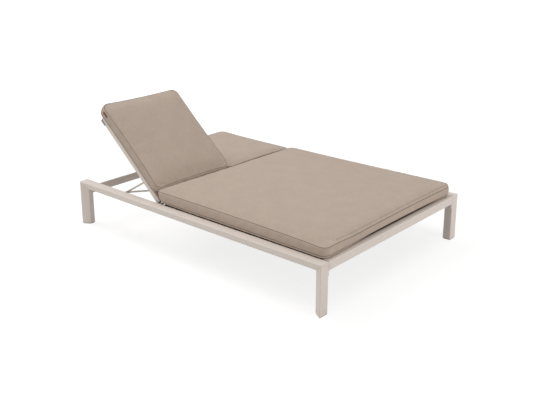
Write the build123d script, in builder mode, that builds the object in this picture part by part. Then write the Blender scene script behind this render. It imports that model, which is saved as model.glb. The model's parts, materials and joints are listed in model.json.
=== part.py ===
"""Double chaise lounger: aluminium frame, two adjustable backs, three boxed cushions.

Millimetres. +X points to the foot end, +Y to the left hand of a person who lies on it,
+Z up. The origin is on the floor, in the middle of the footprint.
"""
import os
from math import asin, atan2, cos, degrees, radians, sin

from build123d import *

# Overall sizes
length = 2000.0
width = 1424.0
frame_top = 296.0

# Side rails and legs: one mitred extrusion with a sloping outer face
rail_width = 68.0
rail_depth = 52.0
rail_bevel = 32.0
rail_edge = 4.0
rail_wall = 3.0

# Plastic glides under the legs
glide_height = 4.0
glide_inset = 2.0
glide_plug = 14.0
plug_gap = 0.15

# Rails across the ends
foot_rail_thick = 40.0
head_rail_thick = 12.0
head_rail_height = 50.0
head_rail_inset = 33.0
tube_wall = 2.0
tube_edge = 3.0

# End plates of the cross rails, bolted to the legs
plate_thick = 6.0
plate_long = 46.0
plate_setback = 2.0
plate_top_gap = 4.0
plate_corner = 10.0
bolt_radius = 4.0
bolt_gap = 0.1
bolt_grip = 10.0
bolt_head_radius = 7.0
bolt_head_high = 4.4
bolt_low_rise = 14.3
bolt_high_drop = 21.0
bolt_end_inset = 15.0
bolt_second_step = 23.0
head_taper = 18

# Hinge line of the backs
hinge_from_head = 700.0
hinge_drop = 18.0
hinge_radius = 4.0
running_gap = 0.05
raise_deg = 41.0

# Beams under the seat and the backs
hinge_beam_wide = 40.0
hinge_beam_deep = 30.0
hinge_beam_drop = 18.0
hinge_beam_shift = 5.0
centre_beam_wide = 50.0
seat_beam_deep = 44.0
head_beam_deep = 45.0
cross_beam_wide = 40.0
cross_beam_deep = 30.0

# Seat slats and the ledges that carry them
slat_count = 13
slat_wide = 60.0
slat_deep = 16.0
slat_wall = 1.6
slat_end_gap = 22.0
slats_from_hinge = 38.0
slats_foot_gap = 10.0
ledge_wide = 46.0
ledge_high = 20.0
ledge_thick = 3.0
ledge_end_gap = 4.0
screw_radius = 2.4
screw_gap = 0.1
screw_head_radius = 4.5
screw_head_high = 2.6

# Back frames
bar_wide = 20.0
bar_deep = 32.0
bar_side_gap = 16.0
bar_middle_gap = 24.0
bar_start = 20.0
cross_tube_wide = 30.0
cross_tube_deep = 20.0
lower_tube_start = 56.0
upper_tube_gap = 4.0
back_slat_count = 6
back_slat_wide = 50.0
back_slat_deep = 12.0

# Hinge tongues in the lower ends of the side bars
tongue_thick = 8.0
tongue_radius = 12.0
tongue_top = 5.0
insert_long = 40.0
insert_gap = 0.1
shoulder_long = 4.0

# Clevises on the hinge beam
cheek_thick = 5.0
cheek_gap = 0.3
cheek_flare = 2.0
clevis_foot = 4.0
nut_across = 13.0
nut_high = 6.5
hinge_head_radius = 7.0
hinge_head_high = 4.0

# Grey caps at the upper ends of the side bars, which land on the head rail
cap_long = 38.0
cap_wall = 2.0
cap_sole = 4.0
cap_end_wall = 4.0
cap_from_head = 6.0
cap_gap = 0.3
landing_gap = 0.3

# Prop: two V-shaped legs that turn on the side bars, joined by a grab bar
prop_pivot_along = 187.0
prop_pivot_drop = 8.0
prop_length = 254.0
foot_drop = 13.0
prop_side_gap = 2.0
prop_rod_radius = 6.0
prop_eye_radius = 9.0
prop_eye_wide = 12.0
foot_drum_radius = 8.0
foot_drum_wide = 14.0
prop_opening_deg = 15.2
return_long = 245.0
pin_collar_radius = 7.0
pin_collar_thick = 2.0
pin_side_gap = 0.3

# Racks for the feet of the props
rack_end_margin = 22.0
rack_high = 21.0
rack_clearance = 2.7
rack_side_gap = 2.0
notch_radius = 8.0
notch_depth = 5.0
notch_pitch = 25.4
notch_count = 5
rack_screw_inset = 8.0
rack_screw_grip = 8.0
rack_screw_seat = 15.0

# Cushions
cushion_corner = 46.0
cushion_draw = 7.0
seat_cushion_draw = 13.0
cushion_bulge = 3.5
seam_lift = 4.0
seam_inset = 5.0
soft_gap = 0.4
crown_rise = 13.0
crown_reach = 190.0
crown_steps = 6
seat_cushion_foot_gap = 21.0
seat_cushion_reach = 15.0
seat_cushion_lean = 30.0
seat_cushion_overlap = 3.0
seat_cushion_seam = 71.0
back_cushion_start = 24.0
back_cushion_slide_per_turn = 72.0
back_cushion_side_gap = 6.0
back_cushion_seam = 66.0

# Leather tag on the right back cushion
tag_long = 44.0
tag_high = 14.0
tag_thick = 1.6
tag_from_end = 68.0
tag_from_seam = 20.0

# Worked-out places
half_length = length / 2
half_width = width / 2
inner_y = half_width - rail_width
hinge_x = hinge_from_head - half_length
hinge_z = frame_top - hinge_drop
rail_bottom = frame_top - rail_depth
slat_bottom = frame_top - slat_deep
hinge_beam_x = hinge_x - hinge_beam_shift
hinge_beam_top = hinge_z - hinge_beam_drop
hinge_beam_head = hinge_beam_x - hinge_beam_wide / 2
hinge_beam_foot = hinge_beam_x + hinge_beam_wide / 2
foot_rail_inner = half_length - foot_rail_thick
head_rail_outer = -half_length + head_rail_inset
head_rail_inner = head_rail_outer + head_rail_thick
head_rail_top = hinge_z - bar_deep / 2 - cap_sole - landing_gap
plate_y = inner_y - plate_thick
plate_top = frame_top - plate_top_gap
plate_low = head_rail_top - head_rail_height
slat_end_y = inner_y - slat_end_gap
screw_y = (slat_end_y + inner_y - ledge_wide) / 2
cross_beam_x = (hinge_beam_foot + foot_rail_inner) / 2
centre_beam_side = centre_beam_wide / 2
bar_half = bar_wide / 2
bar_top = bar_deep / 2
bar_outer_y = inner_y - bar_side_gap - bar_half
bar_inner_y = bar_middle_gap / 2 + bar_half
bar_end = hinge_from_head - cap_from_head - cap_end_wall
cap_start = bar_end - cap_long
prop_outer_y = bar_outer_y - bar_half - prop_side_gap - prop_eye_wide / 2
prop_inner_y = bar_inner_y + bar_half + prop_side_gap + prop_eye_wide / 2
upper_tube_end = bar_end - upper_tube_gap
tube_low = bar_top - cross_tube_deep
tube_span = bar_outer_y - bar_inner_y - bar_wide
tongue_half = tongue_thick / 2
cheek_inside = tongue_half + cheek_gap
cheek_outside = cheek_inside + cheek_thick
rack_top = hinge_z - foot_drop - foot_drum_radius - rack_clearance
rack_reach = prop_rod_radius + rack_side_gap
rack_screw_height = (rail_bottom + rack_top) / 2
return_shift = rack_reach + rack_side_gap + prop_rod_radius
slat_first = hinge_x + slats_from_hinge
slat_last = foot_rail_inner - slats_foot_gap
slat_pitch = (slat_last - slat_first - slat_wide) / (slat_count - 1)
seat_cushion_half = inner_y + seat_cushion_overlap
seat_cushion_foot = half_length - seat_cushion_foot_gap
seat_cushion_head = hinge_x - seat_cushion_reach
back_cushion_long = hinge_from_head - back_cushion_start - cushion_bulge - soft_gap
back_cushion_side = inner_y - back_cushion_side_gap
back_cushion_middle = cushion_bulge + soft_gap
back_cushion_shift = back_cushion_slide_per_turn * radians(raise_deg)

os.makedirs("parts", exist_ok=True)


def keep(piece, name):
    """Labels a finished piece and writes it."""
    piece.part.label = name
    export_step(piece.part, f"parts/{name}.step")


def upright(y):
    """Plane across the frame at one Y: local x is world X, local y is up, facing -Y."""
    return Plane.XZ.offset(-y)


def lying_plane(angle):
    """Plane of a back frame at an angle: local x from the hinge to the head, z out of its top."""
    turn = radians(angle)
    along = (-cos(turn), 0, sin(turn))
    return Plane(origin=(hinge_x, 0, hinge_z), x_dir=along, z_dir=(sin(turn), 0, cos(turn)))


def side_plane(base, y):
    """Plane beside a back frame: local x along the frame, local y up through it, facing +Y."""
    return Plane(origin=base.origin + Vector(0, y, 0), x_dir=base.x_dir, z_dir=(0, 1, 0))


def end_plane(base, along, y):
    """Plane across a side bar: local y up through the frame, facing the head."""
    start = base.origin + base.x_dir * along + Vector(0, y, 0)
    return Plane(origin=start, x_dir=(0, -1, 0), z_dir=base.x_dir)


def box_tube(plane, wide, deep, span, wall=tube_wall):
    """Hollow box tube with rounded edges, centred on the plane and drawn along its normal."""
    with BuildPart() as tube:
        with BuildSketch(plane):
            Rectangle(wide, deep)
            fillet(vertices(), tube_edge)
            offset(amount=-wall, mode=Mode.SUBTRACT)
        extrude(amount=span)
    return tube


def post_outline(side, end):
    """Corners of the rail's trapezoid seen from above, where a leg stands."""
    outer = side * half_width
    show = end * half_length
    hidden = end * (half_length - rail_depth)
    sloped = outer - side * rail_bevel
    return (show, outer), (show, side * inner_y), (hidden, side * inner_y), (hidden, sloped)


def rail_end_outline(side):
    """Corners of the rail's trapezoid seen from its end."""
    outer = side * half_width
    low_corner = (outer - side * rail_bevel, rail_bottom)
    return (outer, frame_top), (side * inner_y, frame_top), (side * inner_y, rail_bottom), low_corner


def hollow_section(plane, outline):
    """Hollow trapezoid of the rails and legs."""
    with BuildSketch(plane) as section:
        with BuildLine():
            Polyline(*outline, close=True)
        make_face()
        fillet(vertices(), rail_edge)
        offset(amount=-rail_wall, mode=Mode.SUBTRACT)
    return section.sketch


def mitre(end):
    """Plane of the mitre between a rail and the leg at one end, facing up and inwards."""
    return Plane(origin=(end * half_length, 0, frame_top), x_dir=(0, 1, 0), z_dir=(-end, 0, 1))


def side_rail(side):
    """Side rail, mitred at both ends and drilled inside for the screws of its rack."""
    with BuildPart() as rail:
        extrude(hollow_section(Plane.YZ.offset(-half_length), rail_end_outline(side)), amount=length)
        split(bisect_by=mitre(1), keep=Keep.TOP)
        split(bisect_by=mitre(-1), keep=Keep.TOP)
        with BuildSketch(upright(side * inner_y)):
            with Locations(*[(x, rack_screw_height) for x in rack_screw_places()]):
                Circle(screw_radius + screw_gap)
        extrude(amount=-side * rack_screw_grip, mode=Mode.SUBTRACT)
    return rail


def bolt_places(end):
    """X and Z of the two bolts of one end plate."""
    near = end * (half_length - bolt_end_inset)
    low = plate_low + bolt_low_rise
    if end > 0:
        return (near, low), (near - bolt_second_step, low)
    return (near, low), (near, frame_top - bolt_high_drop)


def leg(side, end):
    """Leg, mitred into the rail, drilled inside for the bolts of the end plate."""
    with BuildPart() as post:
        section = hollow_section(Plane.XY.offset(glide_height), post_outline(side, end))
        extrude(section, amount=frame_top - glide_height)
        split(bisect_by=mitre(end), keep=Keep.BOTTOM)
        with BuildSketch(upright(side * inner_y)):
            with Locations(*bolt_places(end)):
                Circle(bolt_radius + bolt_gap)
        extrude(amount=-side * bolt_grip, mode=Mode.SUBTRACT)
    return post


def foot_glides():
    """Plastic feet: a flat sole under each leg and a plug inside its tube."""
    with BuildPart() as feet:
        for end in (-1, 1):
            for side in (-1, 1):
                with BuildSketch():
                    with BuildLine():
                        Polyline(*post_outline(side, end), close=True)
                    make_face()
                    offset(amount=-glide_inset, kind=Kind.INTERSECTION)
                    fillet(vertices(), rail_edge)
                extrude(amount=glide_height)
                with BuildSketch(Plane.XY.offset(glide_height)):
                    with BuildLine():
                        Polyline(*post_outline(side, end), close=True)
                    make_face()
                    fillet(vertices(), rail_edge)
                    offset(amount=-rail_wall - plug_gap)
                extrude(amount=glide_plug)
    return feet


def corner_plates():
    """End plates of the foot rail and the head rail, with their bolt holes."""
    with BuildPart() as plates:
        for end in (-1, 1):
            middle = end * (half_length - plate_setback - plate_long / 2)
            for side in (-1, 1):
                with BuildSketch(upright(side * plate_y)) as plate:
                    with Locations((middle, (plate_top + plate_low) / 2)):
                        Rectangle(plate_long, plate_top - plate_low)
                    fillet(plate.vertices().group_by(Axis.Y)[0], plate_corner)
                    with Locations(*bolt_places(end)):
                        Circle(bolt_radius + bolt_gap, mode=Mode.SUBTRACT)
                extrude(amount=-side * plate_thick)
    return plates


def corner_bolts():
    """Button-headed bolts that hold the end plates to the legs."""
    with BuildPart() as bolts:
        for end in (-1, 1):
            for side in (-1, 1):
                with BuildSketch(upright(side * plate_y)):
                    with Locations(*bolt_places(end)):
                        Circle(bolt_radius)
                extrude(amount=-side * (plate_thick + bolt_grip))
                with BuildSketch(upright(side * plate_y)):
                    with Locations(*bolt_places(end)):
                        Circle(bolt_head_radius)
                extrude(amount=side * bolt_head_high, taper=head_taper)
    return bolts


def cross_rail(middle_x, middle_z, wide, deep, half_span, wall=tube_wall):
    """Box tube across the frame, centred on one X and Z."""
    start = Plane(origin=(middle_x, -half_span, middle_z), x_dir=(1, 0, 0), z_dir=(0, 1, 0))
    return box_tube(start, wide, deep, 2 * half_span, wall)


def long_beam(from_x, to_x, top, deep):
    """Beam along the middle of the frame."""
    start = Plane(origin=(from_x, 0, top - deep / 2), x_dir=(0, 1, 0), z_dir=(1, 0, 0))
    return box_tube(start, centre_beam_wide, deep, to_x - from_x)


def head_beam():
    """Beam along the middle under the backs, drilled for the screws of its racks."""
    tube = long_beam(head_rail_inner, hinge_beam_head, head_rail_top, head_beam_deep)
    with BuildPart() as beam:
        add(tube.part)
        with BuildSketch(upright(0)):
            with Locations(*[(x, rack_screw_height) for x in rack_screw_places()]):
                Circle(screw_radius + screw_gap)
        extrude(amount=centre_beam_side, both=True, mode=Mode.SUBTRACT)
    return beam


def mid_cross_beam(side):
    """Half of the cross beam under the seat, from the centre beam to the side rail."""
    middle_z = slat_bottom - ledge_high - cross_beam_deep / 2
    start = (cross_beam_x, side * centre_beam_side, middle_z)
    face = Plane(origin=start, x_dir=(1, 0, 0), z_dir=(0, side, 0))
    return box_tube(face, cross_beam_wide, cross_beam_deep, inner_y - centre_beam_side)


def slat_places():
    """X of the middle of each seat slat."""
    return [slat_first + slat_wide / 2 + slat_pitch * i for i in range(slat_count)]


def slat_ledge(side):
    """Angle along a side rail that carries the ends of the slats, drilled for their screws."""
    wall, lip = side * inner_y, side * (inner_y - ledge_wide)
    inner_wall = side * (inner_y - ledge_thick)
    low = slat_bottom - ledge_high
    shelf = slat_bottom - ledge_thick
    with BuildPart() as ledge:
        with BuildSketch(Plane.YZ.offset(slat_first)):
            with BuildLine():
                Polyline(
                    (wall, slat_bottom),
                    (lip, slat_bottom),
                    (lip, shelf),
                    (inner_wall, shelf),
                    (inner_wall, low),
                    (wall, low),
                    close=True,
                )
            make_face()
        extrude(amount=slat_last - slat_first)
        with BuildSketch(Plane.XY.offset(shelf)):
            with Locations(*[(x, side * screw_y) for x in slat_places()]):
                Circle(screw_radius + screw_gap)
        extrude(amount=ledge_thick, mode=Mode.SUBTRACT)
    return ledge


def seat_slats():
    """Hollow slats across the seat, drilled from below at both ends."""
    with BuildPart() as slats:
        with BuildSketch(upright(0)):
            with Locations(*[(x, slat_bottom + slat_deep / 2) for x in slat_places()]):
                RectangleRounded(slat_wide, slat_deep, tube_edge)
            offset(amount=-slat_wall, mode=Mode.SUBTRACT)
        extrude(amount=slat_end_y, both=True)
        with BuildSketch(Plane.XY.offset(slat_bottom)):
            with Locations(*[(x, side * screw_y) for x in slat_places() for side in (-1, 1)]):
                Circle(screw_radius + screw_gap)
        extrude(amount=slat_wall, mode=Mode.SUBTRACT)
    return slats


def slat_screws():
    """Screws up through the ledges into the slats."""
    with BuildPart() as screws:
        with BuildSketch(Plane.XY.offset(slat_bottom - ledge_thick)):
            with Locations(*[(x, side * screw_y) for x in slat_places() for side in (-1, 1)]):
                Circle(screw_radius)
        extrude(amount=ledge_thick + 2 * slat_wall)
        with BuildSketch(Plane.XY.offset(slat_bottom - ledge_thick)):
            with Locations(*[(x, side * screw_y) for x in slat_places() for side in (-1, 1)]):
                Circle(screw_head_radius)
        extrude(amount=-screw_head_high, taper=head_taper)
    return screws


def hinge_rows():
    """Y of each hinge and the side its bolt's head is on: the rail's or the middle gap's."""
    return (-bar_outer_y, -1), (-bar_inner_y, 1), (bar_inner_y, -1), (bar_outer_y, 1)


def hinge_clevises():
    """Forked brackets on the hinge beam, one at each side bar."""
    foot_half = tongue_radius + cheek_flare
    foot_top = hinge_beam_top + clevis_foot
    with BuildPart() as forks:
        for y, _ in hinge_rows():
            with BuildSketch(upright(y)):
                with Locations((hinge_x, hinge_z)):
                    Circle(tongue_radius)
                with BuildLine():
                    Polyline(
                        (hinge_x - tongue_radius, hinge_z),
                        (hinge_x + tongue_radius, hinge_z),
                        (hinge_x + foot_half, hinge_beam_top),
                        (hinge_x - foot_half, hinge_beam_top),
                        close=True,
                    )
                make_face()
                with Locations((hinge_x, hinge_z)):
                    Circle(hinge_radius + running_gap, mode=Mode.SUBTRACT)
            extrude(amount=cheek_outside, both=True)
            with BuildSketch(upright(y)):
                with Locations((hinge_x, foot_top + 2 * tongue_radius)):
                    Rectangle(2 * foot_half, 4 * tongue_radius)
            extrude(amount=cheek_inside, both=True, mode=Mode.SUBTRACT)
    return forks


def hinge_bolts():
    """Hinge bolts, with their heads towards the rail or the middle gap."""
    with BuildPart() as bolts:
        for y, head_side in hinge_rows():
            with BuildSketch(upright(y + head_side * cheek_outside)):
                with Locations((hinge_x, hinge_z)):
                    Circle(hinge_head_radius)
            extrude(amount=-head_side * hinge_head_high, taper=head_taper)
            with BuildSketch(upright(y + head_side * cheek_outside)):
                with Locations((hinge_x, hinge_z)):
                    Circle(hinge_radius)
            extrude(amount=head_side * (2 * cheek_outside + nut_high))
    return bolts


def hinge_nuts():
    """Nuts on the other ends of the hinge bolts."""
    with BuildPart() as nuts:
        for y, head_side in hinge_rows():
            with BuildSketch(upright(y - head_side * cheek_outside)):
                with Locations((hinge_x, hinge_z)):
                    RegularPolygon(nut_across / 2, 6, major_radius=False)
                    Circle(hinge_radius + running_gap, mode=Mode.SUBTRACT)
            extrude(amount=head_side * nut_high)
    return nuts


def prop_lean(angle):
    """Slope of the pivot arm of a prop above level in radians, with its foot at rack height."""
    turn = radians(angle)
    pivot_height = prop_pivot_along * sin(turn) - prop_pivot_drop * cos(turn)
    return asin((pivot_height + foot_drop) / prop_length)


def slope_of(base):
    """Angle of a back frame's plane above level."""
    return degrees(atan2(base.x_dir.Z, -base.x_dir.X))


def pivot_place(base, y):
    """Pivot of a prop on its side bar."""
    return base.origin + base.x_dir * prop_pivot_along - base.z_dir * prop_pivot_drop + Vector(0, y, 0)


def foot_place(base, y):
    """Foot of a prop in its rack."""
    lean = prop_lean(slope_of(base))
    return pivot_place(base, y) - Vector(cos(lean), 0, sin(lean)) * prop_length


def grab_place(base, y):
    """Axis of the grab bar at the end of the return arm."""
    lean = prop_lean(slope_of(base)) - radians(prop_opening_deg)
    return foot_place(base, y) + Vector(cos(lean), 0, sin(lean)) * return_long


def rack_ends():
    """X of the head end and the foot end of the racks, around the notches."""
    first = foot_place(lying_plane(0), 0).X
    return first - rack_end_margin, first + (notch_count - 1) * notch_pitch + rack_end_margin


def rack_screw_places():
    """X of the two screws of a rack."""
    head_end, foot_end = rack_ends()
    return head_end + rack_screw_inset, foot_end - rack_screw_inset


def rack_rows():
    """Each rack's name, the Y of the wall it is screwed to and the Y of its free side."""
    outer_free = prop_outer_y - rack_reach
    centre_free = prop_inner_y + rack_reach
    return (
        ("rack_outer_right", -inner_y, -outer_free),
        ("rack_centre_right", -centre_beam_side, -centre_free),
        ("rack_centre_left", centre_beam_side, centre_free),
        ("rack_outer_left", inner_y, outer_free),
    )


def rack(wall_y, free_y):
    """Notched block that a foot of a prop stands on, bored from its free side for two screws."""
    wide = abs(free_y - wall_y)
    inward = 1 if free_y > wall_y else -1
    head_end, foot_end = rack_ends()
    first = head_end + rack_end_margin
    with BuildPart() as block:
        with BuildSketch(upright((wall_y + free_y) / 2)):
            with Locations(((head_end + foot_end) / 2, rack_top - rack_high / 2)):
                Rectangle(foot_end - head_end, rack_high)
            notch_height = rack_top + notch_radius - notch_depth
            with Locations(*[(first + i * notch_pitch, notch_height) for i in range(notch_count)]):
                Circle(notch_radius, mode=Mode.SUBTRACT)
            with Locations(*[(x, rack_screw_height) for x in rack_screw_places()]):
                Circle(screw_radius + screw_gap, mode=Mode.SUBTRACT)
        extrude(amount=wide / 2, both=True)
        with BuildSketch(upright(free_y)):
            with Locations(*[(x, rack_screw_height) for x in rack_screw_places()]):
                Circle(screw_head_radius + screw_gap)
        extrude(amount=inward * (wide - rack_screw_seat), mode=Mode.SUBTRACT)
    return block


def rack_screws():
    """Screws through the racks into the side rails and the centre beam."""
    with BuildPart() as screws:
        for _, wall_y, free_y in rack_rows():
            inward = 1 if free_y > wall_y else -1
            with BuildSketch(upright(wall_y + inward * rack_screw_seat)):
                with Locations(*[(x, rack_screw_height) for x in rack_screw_places()]):
                    Circle(screw_radius)
            extrude(amount=inward * (rack_screw_seat + rack_screw_grip))
            with BuildSketch(upright(wall_y + inward * rack_screw_seat)):
                with Locations(*[(x, rack_screw_height) for x in rack_screw_places()]):
                    Circle(screw_head_radius)
            extrude(amount=-inward * screw_head_high, taper=head_taper)
    return screws


def prop_leg(base, y, inward):
    """V-shaped leg: its return arm stands inwards of the rack, joined through the foot drum."""
    pivot = pivot_place(base, y)
    foot = foot_place(base, y)
    low_foot = foot_place(base, y + inward * return_shift)
    grab = grab_place(base, y + inward * return_shift)
    with BuildPart() as prop:
        with BuildSketch(upright(y)):
            with Locations((pivot.X, pivot.Z)):
                Circle(prop_eye_radius)
        extrude(amount=prop_eye_wide / 2, both=True)
        with BuildSketch(upright(y + inward * return_shift)):
            with Locations((grab.X, grab.Z)):
                Circle(foot_drum_radius)
        extrude(amount=prop_eye_wide / 2, both=True)
        with BuildSketch(upright(y + inward * return_shift / 2)):
            with Locations((foot.X, foot.Z)):
                Circle(foot_drum_radius)
        extrude(amount=(return_shift + foot_drum_wide) / 2, both=True)
        with BuildSketch(Plane(origin=foot, z_dir=pivot - foot)):
            Circle(prop_rod_radius)
        extrude(amount=prop_length)
        with BuildSketch(Plane(origin=low_foot, z_dir=grab - low_foot)):
            Circle(prop_rod_radius)
        extrude(amount=return_long)
        with BuildSketch(upright(y)):
            with Locations((pivot.X, pivot.Z)):
                Circle(hinge_radius + running_gap)
        extrude(amount=prop_eye_wide, both=True, mode=Mode.SUBTRACT)
    return prop


def grab_bar(base, side):
    """Bar that joins the two legs and lifts them out of the racks."""
    from_y = prop_inner_y + return_shift + prop_eye_wide / 2
    to_y = prop_outer_y - return_shift - prop_eye_wide / 2
    centre = grab_place(base, 0)
    with BuildPart() as bar:
        with BuildSketch(upright(side * (from_y + to_y) / 2)):
            with Locations((centre.X, centre.Z)):
                Circle(prop_rod_radius)
        extrude(amount=(to_y - from_y) / 2, both=True)
    return bar


def prop_rows(side):
    """Y of a side bar, Y of its prop leg and the way inwards, for the outer and the inner one."""
    outer = (side * bar_outer_y, side * prop_outer_y, -side)
    inner = (side * bar_inner_y, side * prop_inner_y, side)
    return outer, inner


def prop_pins(base, side):
    """Stub pins on the side bars, with collars that keep the eyes on."""
    pivot = pivot_place(base, 0)
    with BuildPart() as pins:
        for bar_y, prop_y, inward in prop_rows(side):
            start = bar_y + inward * (bar_half - 2 * tube_wall)
            stop = prop_y + inward * (prop_eye_wide / 2 + pin_side_gap)
            with BuildSketch(upright(start)):
                with Locations((pivot.X, pivot.Z)):
                    Circle(hinge_radius)
            extrude(amount=start - stop)
            with BuildSketch(upright(stop)):
                with Locations((pivot.X, pivot.Z)):
                    Circle(pin_collar_radius)
            extrude(amount=-inward * pin_collar_thick)
    return pins


def side_bar(base, y, inward):
    """Side bar of a back frame, drilled in its inner wall for the prop's pin."""
    pivot = pivot_place(base, 0)
    tube = box_tube(end_plane(base, bar_start, y), bar_wide, bar_deep, bar_end - bar_start)
    with BuildPart() as bar:
        add(tube.part)
        with BuildSketch(upright(y)):
            with Locations((pivot.X, pivot.Z)):
                Circle(hinge_radius + running_gap)
        extrude(amount=-inward * bar_wide, mode=Mode.SUBTRACT)
    return bar


def hinge_inserts(base, side):
    """Tongues for the clevises, each with a shoulder and a plug inside its side bar."""
    with BuildPart() as inserts:
        for y in (side * bar_outer_y, side * bar_inner_y):
            with BuildSketch(side_plane(base, y)):
                Circle(tongue_radius)
                with BuildLine():
                    Polyline(
                        (0, -tongue_radius),
                        (bar_start, -tongue_radius),
                        (bar_start, tongue_top),
                        (0, tongue_top),
                        close=True,
                    )
                make_face()
                Circle(hinge_radius + running_gap, mode=Mode.SUBTRACT)
            extrude(amount=tongue_half, both=True)
            with BuildSketch(end_plane(base, bar_start - shoulder_long, y)):
                RectangleRounded(bar_wide, bar_deep, tube_edge)
            extrude(amount=shoulder_long)
            with BuildSketch(end_plane(base, bar_start, y)):
                RectangleRounded(bar_wide, bar_deep, tube_edge)
                offset(amount=-tube_wall - insert_gap, mode=Mode.REPLACE)
            extrude(amount=insert_long)
    return inserts


def bar_caps(base, side):
    """Caps round the lower edges of the bars' upper ends, with a full end wall."""
    whole = bar_deep + cap_sole
    low = -bar_top - cap_sole
    shoe = tube_low - cap_gap - low
    with BuildPart() as caps:
        for y in (side * bar_outer_y, side * bar_inner_y):
            with BuildSketch(end_plane(base, cap_start, y)) as sleeve:
                with Locations((0, low + shoe / 2)):
                    Rectangle(bar_wide + 2 * cap_wall, shoe)
                fillet(sleeve.vertices().group_by(Axis.Y)[0], tube_edge)
                with Locations((0, 0)):
                    Rectangle(bar_wide, bar_deep, mode=Mode.SUBTRACT)
            extrude(amount=bar_end - cap_start)
            with BuildSketch(end_plane(base, bar_end, y)):
                with Locations((0, low + whole / 2)):
                    RectangleRounded(bar_wide + 2 * cap_wall, whole, tube_edge)
            extrude(amount=cap_end_wall)
    return caps


def across_plane(base, along, up, side):
    """Plane on the inner side bar's inward face, facing the outer bar, at one place of the frame."""
    centre = base.origin + base.x_dir * along + base.z_dir * up
    start = centre + Vector(0, side * (bar_inner_y + bar_half), 0)
    return Plane(origin=start, x_dir=base.x_dir, z_dir=(0, side, 0))


def cross_tube(base, start, side):
    """Tube between the two side bars of a back frame."""
    face = across_plane(base, start + cross_tube_wide / 2, bar_top - cross_tube_deep / 2, side)
    return box_tube(face, cross_tube_wide, cross_tube_deep, tube_span)


def back_slats(base, side):
    """Slats between the side bars, evenly spaced between the cross tubes."""
    first = lower_tube_start + cross_tube_wide
    room = upper_tube_end - cross_tube_wide - first - back_slat_count * back_slat_wide
    gap = room / (back_slat_count + 1)
    with BuildPart() as slats:
        for i in range(back_slat_count):
            along = first + gap + i * (back_slat_wide + gap) + back_slat_wide / 2
            with BuildSketch(across_plane(base, along, bar_top - back_slat_deep / 2, side)):
                RectangleRounded(back_slat_wide, back_slat_deep, tube_edge)
                offset(amount=-slat_wall, mode=Mode.SUBTRACT)
            extrude(amount=tube_span)
    return slats


def pillow_outline(plane, x_low, x_high, y_low, y_high, draw, inset):
    """Closed outline of a cushion: rounded corners and sides drawn in between them."""
    left, right = x_low + inset, x_high - inset
    low, high = y_low + inset, y_high - inset
    middle_x, middle_y = (left + right) / 2, (low + high) / 2
    corner = cushion_corner
    bow = draw * corner / (corner + inset)
    tuck = corner * (1 - cos(radians(45)))
    with BuildSketch(plane) as outline:
        with BuildLine():
            ThreePointArc((left + corner, low), (middle_x, low + bow), (right - corner, low))
            ThreePointArc((right - corner, low), (right - tuck, low + tuck), (right, low + corner))
            ThreePointArc((right, low + corner), (right - bow, middle_y), (right, high - corner))
            ThreePointArc((right, high - corner), (right - tuck, high - tuck), (right - corner, high))
            ThreePointArc((right - corner, high), (middle_x, high - bow), (left + corner, high))
            ThreePointArc((left + corner, high), (left + tuck, high - tuck), (left, high - corner))
            ThreePointArc((left, high - corner), (left + bow, middle_y), (left, low + corner))
            ThreePointArc((left, low + corner), (left + tuck, low + tuck), (left + corner, low))
        make_face()
    return outline.sketch


def cushion(base, x_low, x_high, y_low, y_high, seam, draw, lean=0.0):
    """Boxed cushion: flat underside, seams at two heights, bulged border and crowned top."""
    top = (x_low, x_high, y_low, y_high, draw)
    middle = (x_low + lean / 2, x_high, y_low, y_high, draw)
    bottom = (x_low + lean, x_high, y_low, y_high, draw)
    lower_seam = pillow_outline(base.offset(seam_lift), *bottom, 0)
    half_way = pillow_outline(base.offset((seam_lift + seam) / 2), *middle, -cushion_bulge)
    upper_seam = pillow_outline(base.offset(seam), *top, 0)
    crown = [upper_seam]
    for step in range(1, crown_steps + 1):
        share = step / crown_steps
        level = base.offset(seam + crown_rise * (1 - (1 - share) ** 2))
        crown.append(pillow_outline(level, *top, crown_reach * share**2))
    with BuildPart() as pad:
        loft([pillow_outline(base, *bottom, seam_inset), lower_seam])
        loft([lower_seam, half_way, upper_seam])
        loft(crown, ruled=True)
    return pad


def seat_cushion():
    """Seat cushion over the slats and the edges of the rails, cut back at the head for the backs."""
    base = Plane.XY.offset(frame_top + soft_gap)
    box = (seat_cushion_head, seat_cushion_foot, -seat_cushion_half, seat_cushion_half)
    return cushion(base, *box, seat_cushion_seam, seat_cushion_draw, seat_cushion_lean)


def back_cushion(base, side, start):
    """Back cushion on its frame, pushed up the frame by a start distance."""
    top = base.offset(bar_top + soft_gap)
    low, high = sorted((-side * back_cushion_middle, -side * back_cushion_side))
    return cushion(top, start, start + back_cushion_long, low, high, back_cushion_seam, cushion_draw)


def cushion_tag(base, start):
    """Blank leather tag on the outer border of the right back cushion, near its upper seam."""
    pad = back_cushion(base, -1, start).part
    along = start + back_cushion_long - tag_from_end
    high = bar_top + soft_gap + back_cushion_seam - tag_from_seam
    with BuildPart() as tag:
        with BuildSketch(side_plane(base, cushion_draw - back_cushion_side)):
            with Locations((along, high)):
                RectangleRounded(tag_long, tag_high, tag_thick)
        extrude(amount=-cushion_draw - cushion_bulge - tag_thick)
        add(pad, mode=Mode.SUBTRACT)
    return tag


# Frame
for side, hand in ((-1, "right"), (1, "left")):
    keep(side_rail(side), f"side_rail_{hand}")
    keep(leg(side, 1), f"leg_foot_{hand}")
    keep(leg(side, -1), f"leg_head_{hand}")
    keep(mid_cross_beam(side), f"cross_beam_{hand}")
    keep(slat_ledge(side), f"slat_ledge_{hand}")

for name, wall_y, free_y in rack_rows():
    keep(rack(wall_y, free_y), name)

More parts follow.
